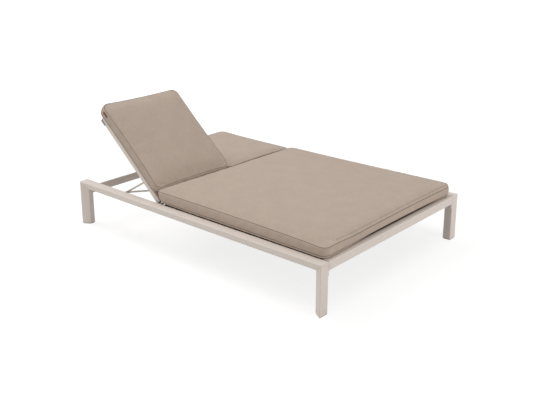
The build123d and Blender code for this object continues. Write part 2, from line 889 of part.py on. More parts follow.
foot_rail_x = half_length - foot_rail_thick / 2
foot_rail_z = frame_top - rail_depth / 2
head_rail_x = head_rail_outer + head_rail_thick / 2
head_rail_z = head_rail_top - head_rail_height / 2
hinge_beam_z = hinge_beam_top - hinge_beam_deep / 2
keep(cross_rail(foot_rail_x, foot_rail_z, foot_rail_thick, rail_depth, plate_y, rail_wall), "foot_rail")
keep(cross_rail(head_rail_x, head_rail_z, head_rail_thick, head_rail_height, plate_y), "head_rail")
keep(cross_rail(hinge_beam_x, hinge_beam_z, hinge_beam_wide, hinge_beam_deep, inner_y), "hinge_beam")
keep(long_beam(hinge_beam_foot, foot_rail_inner, slat_bottom, seat_beam_deep), "centre_beam_seat")
keep(head_beam(), "centre_beam_head")
keep(foot_glides(), "foot_glides")
keep(corner_plates(), "corner_plates")
keep(corner_bolts(), "corner_bolts")
keep(seat_slats(), "seat_slats")
keep(slat_screws(), "slat_screws")
keep(hinge_clevises(), "hinge_clevises")
keep(hinge_bolts(), "hinge_bolts")
keep(hinge_nuts(), "hinge_nuts")
keep(rack_screws(), "rack_screws")
keep(seat_cushion(), "seat_cushion")

# Backs: the right one is raised, the left one lies flat
for side, hand, angle, start in (
    (-1, "right", raise_deg, back_cushion_start + back_cushion_shift),
    (1, "left", 0, back_cushion_start),
):
    base = lying_plane(angle)
    for place, (bar_y, prop_y, inward) in zip(("outer", "inner"), prop_rows(side)):
        keep(side_bar(base, bar_y, inward), f"side_bar_{place}_{hand}")
        keep(prop_leg(base, prop_y, inward), f"prop_leg_{place}_{hand}")
    keep(hinge_inserts(base, side), f"hinge_inserts_{hand}")
    keep(bar_caps(base, side), f"bar_caps_{hand}")
    keep(cross_tube(base, lower_tube_start, side), f"lower_tube_{hand}")
    keep(cross_tube(base, upper_tube_end - cross_tube_wide, side), f"upper_tube_{hand}")
    keep(back_slats(base, side), f"back_slats_{hand}")
    keep(prop_pins(base, side), f"prop_pins_{hand}")
    keep(grab_bar(base, side), f"grab_bar_{hand}")
    keep(back_cushion(base, side, start), f"back_cushion_{hand}")

raised = lying_plane(raise_deg)
keep(cushion_tag(raised, back_cushion_start + back_cushion_shift), "cushion_tag")
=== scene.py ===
"""Looks of the double chaise lounger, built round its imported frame. All places are in metres."""

import json
from math import cos, pi, radians, sin, sqrt

import bpy
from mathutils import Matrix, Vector


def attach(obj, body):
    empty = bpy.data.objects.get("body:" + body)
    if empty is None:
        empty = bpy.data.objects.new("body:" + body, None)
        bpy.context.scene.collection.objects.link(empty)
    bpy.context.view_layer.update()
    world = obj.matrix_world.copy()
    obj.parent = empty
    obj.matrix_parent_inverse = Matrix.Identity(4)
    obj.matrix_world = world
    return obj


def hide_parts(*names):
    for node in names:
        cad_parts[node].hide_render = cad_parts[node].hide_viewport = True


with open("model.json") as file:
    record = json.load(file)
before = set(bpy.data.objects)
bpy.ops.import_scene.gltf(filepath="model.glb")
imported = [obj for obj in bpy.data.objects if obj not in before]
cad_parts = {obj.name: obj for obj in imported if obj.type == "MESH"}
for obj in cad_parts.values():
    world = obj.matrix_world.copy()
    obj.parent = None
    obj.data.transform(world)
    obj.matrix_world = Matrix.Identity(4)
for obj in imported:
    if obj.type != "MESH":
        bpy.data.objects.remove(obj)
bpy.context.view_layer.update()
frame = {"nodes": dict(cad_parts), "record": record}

# Places of the cushions, as the frame has them
HINGE_X, HINGE_Z = -0.300, 0.278
RAISE = radians(41)
SEAT_HEAD, SEAT_FOOT = -0.285, 0.979
SEAT_HALF = 0.647
SEAT_UNDER = 0.2964
SEAT_HEIGHT = 0.071
SEAT_LEAN = 0.030
BACK_LENGTH = 0.6721
BACK_INNER, BACK_OUTER = 0.0095, 0.638
BACK_UNDER = 0.0164
BACK_HEIGHT = 0.066
BACK_START = {"right": 0.0755, "left": 0.024}
BACK_TURN = {"right": RAISE, "left": 0.0}

# Outline of a cushion: its corner radius, how far its sides are drawn in, and the under panel's share of that
CORNER = 0.046
SEAT_DRAW, BACK_DRAW, UNDER_DRAW = 0.009, 0.007, 0.6

# Upright border: its bulge, how far it rolls out at the lower end of a back, and the heights of its rows
BULGE, SHOULDER = 0.006, 0.4
LOWER_ROLL = {"right": 0.012, "left": -0.003}
ROLL_SHARP, ROLL_SKEW = 4, 2.2
BORDER_SHARES = (0.0, 0.075, 0.15, 0.27, 0.42, 0.58, 0.73, 0.85, 0.925, 1.0)

# Top panel: its crown, the low ridge by the seam, and changes of height
SEAT_CROWN, BACK_CROWN = 0.013, 0.009
CROWN_REACH = 0.19
EDGE_LIP = 0.0008
SEAT_TWIST, FOOT_SINK = 0.006, 0.004
FLAT_SINK, FLAT_RISE = 0.006, 0.003
RAISED_PRESS = 0.007

# Top panel of the seat, pulled over the foot end
FOLD_LONG, FOLD_DROP, FOLD_PULL, FOLD_CREASE = 0.024, 0.011, 0.4, 0.006
CREASE_HALF, PULL_FADE = 0.006, 0.10
FOLD_START, FOLD_RISE, FOLD_END = -0.92, 0.4, 0.06
FOLD_SHOWN = 0.15
FOLD_ROW = -5

# Under panel: how high its seam lies, how it wraps up to it, and where it lifts
UNDER_LIFT = 0.016
WRAP_LONG, WRAP_RADIUS, WRAP_PUSH, WRAP_FADE = 0.024, 0.0115, 0.0045, 0.06
LIFT_REACH, HOLLOW_LIFT = 0.045, 0.002
SEAT_FOOT_LIFT, SEAT_HEAD_LIFT = 0.003, 0.001
FOOT_LIFT_MIDDLE, FOOT_LIFT_WIDTH = 0.15, 1.05

# Grid of the panels, with SEAM_STEPS as the distances from the seam
CELL = 0.016
SEAM_STEPS = (0.0, 0.0052, 0.0105, 0.017, 0.024, 0.031)

# Sewing, whose dark thread along the seams and the fold also stands for the shade in their creases as painted
# shade, and how full the covers are
SEAT_THREAD_AND_SHADE, BACK_THREAD_AND_SHADE, FOLD_THREAD_AND_SHADE = 0.0016, 0.0013, 0.0008
THREAD_SIDES = 8
STITCH = 0.005
SEAT_FILL, BACK_FILL = 0.8, 0.75

# Leather tag on the right back cushion
TAG_LONG, TAG_HIGH, TAG_THICK = 0.044, 0.014, 0.0016
TAG_FROM_END, TAG_FROM_SEAM = 0.068, 0.020
TAG_CORNER = 0.002
TAG_CELLS = (22, 8)
TAG_LAYERS = ((-TAG_THICK / 2, 1.0), (TAG_THICK * 0.7, 1.0), (TAG_THICK, 0.96))
TAG_STITCH_INSET, TAG_STITCHES, TAG_THREAD = 0.0022, 26, 0.00035
TAG_STITCH_SHARE, TAG_THREAD_SIDES = 0.62, 6
TAG_STITCH_RINGS = ((0.0, 0.3), (0.2, 1.0), (0.8, 1.0), (1.0, 0.3))

# Cloth simulation: how firmly the free cloth, the seams and the underside are held, and the longest move kept
PRESSURE = 4.0
SLACK = 0.01
HOLD_FREE, HOLD_SEAM, HOLD_UNDER = 0.15, 0.9, 1.0
SIM_QUALITY, SIM_MASS, SIM_BENDING = 5, 0.3, 0.4
FRAMES = 20
CAP = 0.012

# Weave: threads to the metre, each way
THREAD_COUNT = 700

# Lamps: name, place, diameter and power; all look at one point. Then the light of the surroundings
LAMP_AIM = (0, 0, 0.3)
LAMP_COLOUR = (1.0, 0.985, 0.965)
LAMPS = (("head", (-4.2, -1.2, 6.0), 4.5, 222),
         ("overhead", (1.5, -0.2, 4.6), 3.4, 44),
         ("foot", (5.2, 0.8, 0.9), 1.6, 45),
         ("side", (-1.2, -4.6, 0.9), 1.6, 14))
SURROUND, SURROUND_COLOUR = 0.42, (1.0, 0.99, 0.98, 1)

# Floor: its half side and colour, and how the camera sees it: a grey that takes the shadow, and a glow
# that rises to white over these distances
FLOOR_HALF = 30.0
FLOOR_COLOUR = (0.82, 0.81, 0.80, 1)
SHADOW_GREY = (0.30, 0.30, 0.30, 1)
FLOOR_NEAR, FLOOR_FAR = 1.5, 4.5
FLOOR_DIM, FLOOR_WHITE = 0.8, 1.0

# Camera of the photograph
SENSOR, LENS = 36.0, 53.583
SHIFT_X, SHIFT_Y = 0.0016, -0.10
CAMERA_PLACE = (3.2141, -3.6604, 2.0032)
CAMERA_YAW, CAMERA_PITCH = 2.2872, 0.2921


def add_object(name, data):
    """A new object with this data, linked to the scene."""
    made = bpy.data.objects.new(name, data)
    bpy.context.collection.objects.link(made)
    return made


# Materials

def material(name):
    """A new node material, with its tree and its shader."""
    made = bpy.data.materials.new(name)
    made.use_nodes = True
    tree = made.node_tree
    shader = tree.nodes["Principled BSDF"]
    return made, tree, shader


def node(tree, kind, inputs=None, **settings):
    """A node with its settings and inputs; an input is a value or another node's output."""
    made = tree.nodes.new(kind)
    for key, value in settings.items():
        setattr(made, key, value)
    for key, value in (inputs or {}).items():
        if isinstance(value, bpy.types.NodeSocket):
            tree.links.new(value, made.inputs[key])
        else:
            made.inputs[key].default_value = value
    return made


def ramp(tree, source, stops):
    """A colour ramp on one value."""
    made = node(tree, "ShaderNodeValToRGB", {"Fac": source})
    elements = made.color_ramp.elements
    while len(elements) < len(stops):
        elements.new(0.5)
    for element, (place, colour) in zip(elements, stops):
        element.position = place
        element.color = (*colour, 1.0)
    return made.outputs["Color"]


def noise(tree, place, scale, detail):
    """Soft noise over a place."""
    made = node(tree, "ShaderNodeTexNoise", {"Vector": place, "Scale": scale, "Detail": detail})
    return made.outputs["Fac"]


def add_relief(tree, shader, height, strength, distance):
    """Gives the shader a fine relief."""
    bump = node(tree, "ShaderNodeBump", {"Height": height, "Strength": strength, "Distance": distance})
    tree.links.new(bump.outputs["Normal"], shader.inputs["Normal"])


def vary_roughness(tree, shader, share, low, high):
    """Lets the shader's roughness go from low to high with a share."""
    rough = node(tree, "ShaderNodeMapRange", {"Value": share, "To Min": low, "To Max": high})
    tree.links.new(rough.outputs["Result"], shader.inputs["Roughness"])


def shade(colour, factor):
    """The colour, lighter or darker."""
    return tuple(c * factor for c in colour)


def painted_metal(name, colour, roughness):
    """Powder coat: fine pimples, faint cloudiness and edges that are rubbed a little paler."""
    made, tree, shader = material(name)
    place = node(tree, "ShaderNodeTexCoord").outputs["Object"]
    cloud = noise(tree, place, 7.0, 4.0)
    base = ramp(tree, cloud, ((0.3, shade(colour, 0.965)), (0.7, shade(colour, 1.03))))
    worn = node(tree, "ShaderNodeNewGeometry").outputs["Pointiness"]
    edge = node(tree, "ShaderNodeMapRange",
                {"Value": worn, "From Min": 0.51, "From Max": 0.60, "To Max": 0.35}).outputs["Result"]
    rubbed = (*shade(colour, 1.12), 1)
    mixed = node(tree, "ShaderNodeMix", {"Factor": edge, "A": base, "B": rubbed}, data_type="RGBA")
    tree.links.new(mixed.outputs["Result"], shader.inputs["Base Color"])
    grain = noise(tree, place, 900.0, 2.0)
    add_relief(tree, shader, grain, 0.12, 0.0004)
    vary_roughness(tree, shader, cloud, roughness - 0.06, roughness + 0.06)
    return made


def bare_metal(name, colour, roughness):
    """Metal with fine lines along its length."""
    made, tree, shader = material(name)
    place = node(tree, "ShaderNodeTexCoord").outputs["Object"]
    stretch = (40.0, 900.0, 900.0)
    along = node(tree, "ShaderNodeMapping", {"Vector": place, "Scale": stretch}).outputs["Vector"]
    lines = noise(tree, along, 1.0, 3.0)
    base = ramp(tree, lines, ((0.3, shade(colour, 0.85)), (0.7, colour)))
    tree.links.new(base, shader.inputs["Base Color"])
    vary_roughness(tree, shader, lines, roughness - 0.08, roughness + 0.1)
    add_relief(tree, shader, lines, 0.1, 0.0002)
    shader.inputs["Metallic"].default_value = 1.0
    return made


def moulded_plastic(name, colour, roughness):
    """Moulded plastic with a fine spark-eroded grain."""
    made, tree, shader = material(name)
    place = node(tree, "ShaderNodeTexCoord").outputs["Object"]
    grain = node(tree, "ShaderNodeTexVoronoi", {"Vector": place, "Scale": 1400.0}).outputs["Distance"]
    cloud = noise(tree, place, 30.0, 3.0)
    base = ramp(tree, cloud, ((0.3, shade(colour, 0.88)), (0.7, shade(colour, 1.1))))
    tree.links.new(base, shader.inputs["Base Color"])
    add_relief(tree, shader, grain, 0.2, 0.0003)
    vary_roughness(tree, shader, cloud, roughness - 0.05, roughness + 0.08)
    return made


def woven_fabric(name, colour, contrast):
    """Outdoor weave: crossing threads, each a little lighter or darker, with soft wrinkles and a nap."""
    made, tree, shader = material(name)
    place = node(tree, "ShaderNodeUVMap", uv_map="cloth").outputs["UV"]
    parts = node(tree, "ShaderNodeSeparateXYZ", {"Vector": place})
    threads = []
    for axis, stretch in (("X", (1100.0, 45.0, 1.0)), ("Y", (45.0, 1100.0, 1.0))):
        turned = node(tree, "ShaderNodeMath", {0: parts.outputs[axis], 1: 2 * pi * THREAD_COUNT},
                      operation="MULTIPLY")
        wave = node(tree, "ShaderNodeMath", {0: turned.outputs[0]}, operation="SINE")
        streak = node(tree, "ShaderNodeMapping", {"Vector": place, "Scale": stretch}).outputs["Vector"]
        tone = noise(tree, streak, 1.0, 2.0)
        threads.append((wave.outputs[0], tone))
    (wave_a, tone_a), (wave_b, tone_b) = threads
    crossing = node(tree, "ShaderNodeMath", {0: wave_a, 1: wave_b}, operation="MULTIPLY").outputs[0]
    over = node(tree, "ShaderNodeMapRange",
                {"Value": crossing, "From Min": -0.5, "From Max": 0.5}).outputs["Result"]
    fibre = node(tree, "ShaderNodeMix", {"Factor": over, "A": tone_a, "B": tone_b}).outputs["Result"]
    cloud = noise(tree, place, 9.0, 5.0)
    mottle = noise(tree, place, 160.0, 3.0)
    wrinkle = noise(tree, place, 26.0, 2.0)
    thread_tone = ramp(tree, fibre, ((0.3, shade(colour, 1 - contrast)), (0.7, shade(colour, 1 + contrast))))
    cloud_tone = ramp(tree, cloud, ((0.3, (0.96,) * 3), (0.7, (1.035, 1.033, 1.025))))
    mottle_tone = ramp(tree, mottle, ((0.3, (0.945,) * 3), (0.7, (1.055,) * 3)))
    first = node(tree, "ShaderNodeMix", {"Factor": 1.0, "A": thread_tone, "B": cloud_tone}, data_type="RGBA",
                 blend_type="MULTIPLY").outputs["Result"]
    second = node(tree, "ShaderNodeMix", {"Factor": 1.0, "A": first, "B": mottle_tone}, data_type="RGBA",
                  blend_type="MULTIPLY").outputs["Result"]
    tree.links.new(second, shader.inputs["Base Color"])
    relief = node(tree, "ShaderNodeMath", {0: crossing, 1: 0.5, 2: 0.5}, operation="MULTIPLY_ADD").outputs[0]
    fine = node(tree, "ShaderNodeBump", {"Height": relief, "Strength": 0.35, "Distance": 0.0004})
    soft = node(tree, "ShaderNodeBump", {"Height": mottle, "Strength": 0.25, "Distance": 0.0012,
                                         "Normal": fine.outputs["Normal"]})
    creased = node(tree, "ShaderNodeBump", {"Height": wrinkle, "Strength": 0.4, "Distance": 0.003,
                                            "Normal": soft.outputs["Normal"]})
    tree.links.new(creased.outputs["Normal"], shader.inputs["Normal"])
    shader.inputs["Roughness"].default_value = 0.92
    shader.inputs["Specular IOR Level"].default_value = 0.2
    shader.inputs["Sheen Weight"].default_value = 0.15
    shader.inputs["Sheen Roughness"].default_value = 0.5
    return made


def sewing_thread(name, colour, hole_shade):
    """A row of stitches: thread that goes down into the cloth once in each stitch, with painted shade in the
    hole where it goes down.
    """
    made, tree, shader = material(name)
    place = node(tree, "ShaderNodeUVMap", uv_map="cloth").outputs["UV"]
    along = node(tree, "ShaderNodeSeparateXYZ", {"Vector": place}).outputs["X"]
    turned = node(tree, "ShaderNodeMath", {0: along, 1: 2 * pi / STITCH}, operation="MULTIPLY").outputs[0]
    wave = node(tree, "ShaderNodeMath", {0: turned}, operation="SINE").outputs[0]
    share = node(tree, "ShaderNodeMapRange", {"Value": wave, "From Min": -1.0}).outputs["Result"]
    # Painted shade: where the thread dips into the cloth it takes the darker hole colour.
    tone = ramp(tree, share, ((0.1, hole_shade), (0.3, colour)))
    tree.links.new(tone, shader.inputs["Base Color"])
    add_relief(tree, shader, share, 0.6, 0.0005)
    shader.inputs["Roughness"].default_value = 0.8
    return made


def tanned_leather(name, colour):
    """Smooth leather with pores and darker rubbed patches."""
    made, tree, shader = material(name)
    place = node(tree, "ShaderNodeTexCoord").outputs["Object"]
    pores = node(tree, "ShaderNodeTexVoronoi", {"Vector": place, "Scale": 900.0}).outputs["Distance"]
    cloud = noise(tree, place, 90.0, 4.0)
    base = ramp(tree, cloud, ((0.3, shade(colour, 0.75)), (0.7, shade(colour, 1.2))))
    tree.links.new(base, shader.inputs["Base Color"])
    add_relief(tree, shader, pores, 0.4, 0.0003)
    shader.inputs["Roughness"].default_value = 0.5
    return made


PAINT_COLOUR = (0.71, 0.638, 0.583)
CLOTH_COLOUR = (0.500, 0.408, 0.340)

PAINT = painted_metal("painted_frame_look", PAINT_COLOUR, 0.46)
# Near-black paint for the dark frame slot: painted shade, standing for the deep shade seen under the
# cushions' edges.
SLAT_SHADE_PAINT = painted_metal("dark_frame_shade_look", (0.05, 0.046, 0.042), 0.6)
ALUMINIUM = bare_metal("bare_aluminium_look", (0.42, 0.415, 0.41), 0.45)
STEEL = bare_metal("steel_look", (0.40, 0.395, 0.39), 0.35)
DARK = moulded_plastic("dark_plastic_look", (0.05, 0.048, 0.045), 0.55)
GREY = moulded_plastic("grey_plastic_look", (0.30, 0.29, 0.28), 0.5)
CLOTH = woven_fabric("cushion_fabric_look", CLOTH_COLOUR, 0.16)
LEATHER = tanned_leather("leather_look", (0.16, 0.055, 0.022))
# Seam thread: darker than the cloth, in part its own colour and in part painted shade of the seam creases it
# lies in.
THREAD_AND_SEAM_SHADE = sewing_thread("thread_and_seam_shade_look", shade(CLOTH_COLOUR, 0.42), shade(CLOTH_COLOUR, 0.2))
# Leather thread, with painted shade in its stitch holes.
LEATHER_THREAD = sewing_thread("leather_thread_look", (0.30, 0.16, 0.08), (0.2, 0.1, 0.05))

SLOT_LOOKS = {"painted_frame": PAINT, "dark_frame": SLAT_SHADE_PAINT, "bare_aluminium": ALUMINIUM, "steel": STEEL,
              "dark_plastic": DARK, "grey_plastic": GREY, "cushion_fabric": CLOTH, "leather": LEATHER}


def dress_nodes():
    """Gives each node of the frame the look of its material slot."""
    for part in frame["record"]["subparts"]:
        piece = frame["nodes"][part["node"]]
        for place in piece.material_slots:
            place.material = SLOT_LOOKS[part["material_slot"]]


# Cushions

def spaced(half):
    """Places from -half to half, close together by the seams."""
    middle = half - SEAM_STEPS[-1]
    count = max(2, round(2 * middle / CELL))
    inner = [-middle + 2 * middle * k / count for k in range(1, count)]
    edge = [half - step for step in SEAM_STEPS]
    return [-e for e in edge] + inner + edge[::-1]


def outline_place(a, b, half_a, half_b, draw, corner=CORNER):
    """Moves a place of the square grid into the outline with round corners and drawn-in sides."""
    corner_a = abs(a) - (half_a - corner)
    corner_b = abs(b) - (half_b - corner)
    x, y = a, b
    if corner_a > 0 and corner_b > 0:
        p, q = corner_a / corner, corner_b / corner
        x = (half_a - corner + corner * p * sqrt(1 - q * q / 2)) * (1 if a > 0 else -1)
        y = (half_b - corner + corner * q * sqrt(1 - p * p / 2)) * (1 if b > 0 else -1)
    draw_a = draw * (1 - (y / half_b) ** 2)
    draw_b = draw * (1 - (x / half_a) ** 2)
    return x * (1 - draw_a / half_a), y * (1 - draw_b / half_b)


def towards(value, sharpness):
    """Rises to one at the positive edge; the sharper, the closer to the edge it stays."""
    return max(0.0, value) ** sharpness


def crown_share(distance):
    """Share of the crown's height at a distance from the border."""
    left = 1 - min(distance / CROWN_REACH, 1)
    return 1 - left * left


def lip_share(distance):
    """Height share of the low ridge in which the cloth rises from its seam."""
    return max(0.0, 1 - abs(distance - SEAM_STEPS[1]) / SEAM_STEPS[1])


class CushionForm:
    """Vertices, faces and cloth places of one boxed cushion, as a closed mesh."""

    def __init__(self, half_a, half_b, height, crown, draw, roll, shape, changes):
        self.half_a, self.half_b, self.height, self.crown = half_a, half_b, height, crown
        self.draw, self.roll, self.shape = draw, roll, shape
        self.top_change, self.under_change, self.fold = changes
        self.rows_a, self.rows_b = spaced(half_a), spaced(half_b)
        self.points, self.faces, self.places = [], [], []
        self.top = self.panel(True)
        self.under = self.panel(False)
        self.top_ring = inner_ring(self.top, 0)
        self.under_ring = inner_ring(self.under, 0)
        folded = [j for j, b in enumerate(self.rows_b) if self.fold(b / half_b) > FOLD_SHOWN]
        self.fold_line = [self.top[FOLD_ROW][j] for j in folded]
        self.border()

    def panel(self, upper):
        """Adds the top or the under panel and returns its grid of vertex numbers."""
        grid = []
        for a in self.rows_a:
            line = []
            for b in self.rows_b:
                line.append(len(self.points))
                self.points.append(self.top_place(a, b) if upper else self.under_place(a, b))
            grid.append(line)
        for i in range(len(grid) - 1):
            for j in range(len(grid[0]) - 1):
                face = (grid[i][j], grid[i + 1][j], grid[i + 1][j + 1], grid[i][j + 1])
                if not upper:
                    face = face[::-1]
                self.faces.append(face)
                self.places.append([self.points[v][:2] for v in face])
        return grid

    def top_place(self, a, b):
        """A point of the top panel: crowned, with a low ridge by its seam, and pulled over the foot end."""
        x, y = outline_place(a, b, self.half_a, self.half_b, self.draw)
        inside_a, inside_b = self.half_a - abs(a), self.half_b - abs(b)
        z = self.height + self.crown * crown_share(inside_a) * crown_share(inside_b)
        z += self.top_change(x / self.half_a, y / self.half_b) + EDGE_LIP * lip_share(min(inside_a, inside_b))
        pull, fall = self.rolled(self.half_a - a, y)
        return x + pull, y, z - fall

    def under_place(self, a, b):
        """A point of the under panel: wrapped up to its seam, or hollow where the cushion lifts."""
        inside = min(self.half_a - abs(a), self.half_b - abs(b))
        lift = self.under_change(a / self.half_a, b / self.half_b)
        hollow = min(1.0, lift / HOLLOW_LIFT)
        share = min(1.0, inside / WRAP_LONG)
        out = min(inside, WRAP_LONG) - WRAP_RADIUS * (1 - cos(pi / 2 * share)) + WRAP_PUSH * sin(pi * share)
        out *= (1 - hollow) * max(0.0, 1 - max(0.0, inside - WRAP_LONG) / WRAP_FADE)
        if out > 0:
            a, b = a * (1 + out / (self.half_a - inside)), b * (1 + out / (self.half_b - inside))
        x, y = outline_place(a, b, self.half_a, self.half_b, self.draw * UNDER_DRAW)
        sloped = max(0.0, 1 - inside / LIFT_REACH) ** 2
        z = UNDER_LIFT * ((1 - sin(pi / 2 * share)) * (1 - hollow) + sloped * hollow) + lift * sloped
        return x, y, z

    def rolled(self, inside, y):
        """How far the top panel is pulled over the foot end, and how far it hangs down there."""
        share = self.fold(y / self.half_b)
        pull = FOLD_PULL * min(inside, max(0.0, FOLD_LONG + PULL_FADE - inside) * FOLD_LONG / PULL_FADE)
        hang = FOLD_DROP * max(0.0, 1 - inside / FOLD_LONG)
        crease = FOLD_CREASE * max(0.0, 1 - abs(inside - FOLD_LONG) / CREASE_HALF)
        return share * pull, share * (hang + crease)

    def border(self):
        """Adds the upright strip between the two seams, bulging a little between them."""
        count = len(self.top_ring)
        loops = [self.under_ring]
        for share in BORDER_SHARES[1:-1]:
            loop = []
            for k in range(count):
                low, high = Vector(self.points[self.under_ring[k]]), Vector(self.points[self.top_ring[k]])
                before = Vector(self.points[self.under_ring[k - 1]])
                after = Vector(self.points[self.under_ring[(k + 1) % count]])
                along = (after - before).normalized()
                out = Vector((along.y, -along.x, 0))
                push = BULGE * sin(pi * share) ** SHOULDER
                push += self.roll * towards(out.x, ROLL_SHARP) * sin(pi * share ** ROLL_SKEW)
                loop.append(len(self.points))
                self.points.append(tuple(low.lerp(high, share) + out * push))
            loops.append(loop)
        loops.append(self.top_ring)
        run = [0.0]
        for k in range(count):
            here = Vector(self.points[self.top_ring[k]])
            run.append(run[-1] + (Vector(self.points[self.top_ring[(k + 1) % count]]) - here).length)
        for number in range(len(loops) - 1):
            under, over = loops[number], loops[number + 1]
            low, high = BORDER_SHARES[number] * self.height, BORDER_SHARES[number + 1] * self.height
            for k in range(count):
                after = (k + 1) % count
                self.faces.append((under[k], under[after], over[after], over[k]))
                self.places.append([(run[k], low), (run[k + 1], low), (run[k + 1], high), (run[k], high)])
        self.loops = loops

    def build(self, name, look):
        """Makes the object, with its cloth places as a UV map."""
        return cloth_piece(name, [self.shape(*p) for p in self.points], self.faces, self.places, look)


def cloth_piece(name, points, faces, places, look):
    """A smooth object from points and faces, with its cloth places as a UV map."""
    mesh = bpy.data.meshes.new(name)
    mesh.from_pydata(points, [], faces)
    layer = mesh.uv_layers.new(name="cloth")
    layer.data.foreach_set("uv", [value for face in places for place in face for value in place])
    mesh.shade_smooth()
    mesh.materials.append(look)
    return add_object(name, mesh)


def seat_shape(x, y, z):
    """Puts a place of the seat cushion, measured from its centre, into the frame; its head end leans out."""
    middle = (SEAT_HEAD + SEAT_FOOT) / 2
    half = (SEAT_FOOT - SEAT_HEAD) / 2
    lean = SEAT_LEAN * min(z / SEAT_HEIGHT, 1) * (1 - x / half) / 2
    return middle + x - lean, y, SEAT_UNDER + z


def back_shape(hand):
    """Gives the function that does the same for a back cushion, which lies on its turned frame."""
    turn = BACK_TURN[hand]
    side = -1 if hand == "right" else 1
    middle = BACK_START[hand] + BACK_LENGTH / 2

    def shape(x, y, z):
        along, up = middle - x, BACK_UNDER + z
        return (HINGE_X - cos(turn) * along + sin(turn) * up, y + side * (BACK_INNER + BACK_OUTER) / 2,
                HINGE_Z + sin(turn) * along + cos(turn) * up)
    return shape


def puff(piece, form):
    """Swells the cover with cloth simulation, its seams and its underside held, and keeps the shape."""
    before = [v.co.copy() for v in piece.data.vertices]
    held = piece.vertex_groups.new(name="held")
    under = [v for line in form.under for v in line]
    seam = form.top_ring + form.loops[-2] + form.loops[1] + inner_ring(form.top, 1)
    held.add([v.index for v in piece.data.vertices], HOLD_FREE, "REPLACE")
    held.add(seam, HOLD_SEAM, "REPLACE")
    held.add(under, HOLD_UNDER, "REPLACE")
    cloth = piece.modifiers.new("puff", "CLOTH")
    settings = cloth.settings
    settings.quality = SIM_QUALITY
    settings.mass = SIM_MASS
    settings.use_pressure = True
    settings.uniform_pressure_force = PRESSURE
    settings.effector_weights.gravity = 0
    settings.vertex_group_mass = "held"
    settings.pin_stiffness = 1.0
    settings.shrink_min = -SLACK
    settings.bending_stiffness = SIM_BENDING
    cloth.collision_settings.use_collision = False
    cloth.point_cache.frame_start = 1
    cloth.point_cache.frame_end = FRAMES
    for frame_number in range(1, FRAMES + 1):
        bpy.context.scene.frame_set(frame_number)
    after = settled(piece)
    piece.modifiers.remove(cloth)
    piece.vertex_groups.remove(held)
    longest = 0.0
    for vertex, old, new in zip(piece.data.vertices, before, after):
        move = new - old
        longest = max(longest, move.length)
        if move.length > CAP:
            move *= CAP / move.length
        vertex.co = old + move
    bpy.context.scene.frame_set(1)
    print("puffed", piece.name, "longest move", round(longest, 4))


def soften(piece):
    """One subdivision, for a smooth skin."""
    smooth = piece.modifiers.new("smooth", "SUBSURF")
    smooth.levels = smooth.render_levels = 1


def settled(piece):
    """The piece's vertices with its modifiers."""
    graph = bpy.context.evaluated_depsgraph_get()
    graph.update()
    shown = piece.evaluated_get(graph)
    return [v.co.copy() for v in shown.data.vertices]


def point_at(line, k, closed):
    """A point of the line, which goes round where it is closed and stops at its ends where it is not."""
    return line[k % len(line)] if closed else line[min(max(k, 0), len(line) - 1)]


def rounded_line(line, closed):
    """The line of points with one more between each two, on a smooth curve."""
    made = []
    for k in range(len(line) if closed else len(line) - 1):
        before, here, after, beyond = (point_at(line, k + step, closed) for step in (-1, 0, 1, 2))
        made += [here, (here + after) * 9 / 16 - (before + beyond) / 16]
    return made if closed else made + [line[-1]]


def thread_tube(name, line, radius, closed):
    """A tube of dark sewing thread along a line of points; its darkness also paints the shade of the crease
    it lies in.
    """
    line = rounded_line(line, closed)
    points, faces, places = [], [], []
    count, sides = len(line), THREAD_SIDES
    last = count if closed else count - 1
    run = [0.0]
    for k in range(last):
        run.append(run[-1] + (point_at(line, k + 1, closed) - line[k]).length)
    normal = None
    for k in range(count):
        along = (point_at(line, k + 1, closed) - point_at(line, k - 1, closed)).normalized()
        if normal is None:
            normal = along.orthogonal().normalized()
        normal = (normal - along * normal.dot(along)).normalized()
        other = along.cross(normal)
        for j in range(sides):
            angle = 2 * pi * j / sides
            points.append(line[k] + (normal * cos(angle) + other * sin(angle)) * radius)
    for k in range(last):
        after = (k + 1) % count
        for j in range(sides):
            turn = (j + 1) % sides
            faces.append((k * sides + j, after * sides + j, after * sides + turn, k * sides + turn))
            low, high = 2 * pi * radius * j / sides, 2 * pi * radius * (j + 1) / sides
            places.append([(run[k], low), (run[k + 1], low), (run[k + 1], high), (run[k], high)])
    if not closed:
        for end, step in ((0, -1), (last * sides, 1)):
            faces.append(tuple(end + j for j in range(sides))[::step])
            places.append([(0.0, 0.0)] * sides)
    return cloth_piece(name, points, faces, places, THREAD_AND_SEAM_SHADE)


def inner_ring(grid, step):
    """What a grid holds once round, some steps inside its border, counterclockwise from above."""
    rows = [line[step:len(line) - step] for line in grid[step:len(grid) - step]]
    last_a, last_b = len(rows) - 1, len(rows[0]) - 1
    return ([rows[i][0] for i in range(last_a)] + [rows[last_a][j] for j in range(last_b)]
            + [rows[i][last_b] for i in range(last_a, 0, -1)] + [rows[0][j] for j in range(last_b, 0, -1)])


def add_seams(piece, form, body, thread):
    """Lays the dark sewing along both seams of a finished cushion, and along its fold; its darkness also
    paints the shade in their creases.
    """
    skin = settled(piece)
    lines = [("seam_top", form.top_ring, thread, True), ("seam_under", form.under_ring, thread, True)]
    if form.fold_line:
        lines.append(("fold_line", form.fold_line, FOLD_THREAD_AND_SHADE, False))
    for name, run, radius, closed in lines:
        line = thread_tube(f"{piece.name}_{name}", [skin[v] for v in run], radius, closed)
        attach(line, body)


def make_cushion(name, form, body, fill, thread):
    """One cushion with its seams, in place of its plain solid."""
    piece = form.build(f"{name}_cover", CLOTH)
    puff(piece, form)
    soften(piece)
    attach(piece, body)
    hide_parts(name)
    add_seams(piece, form, body, thread)
    return piece


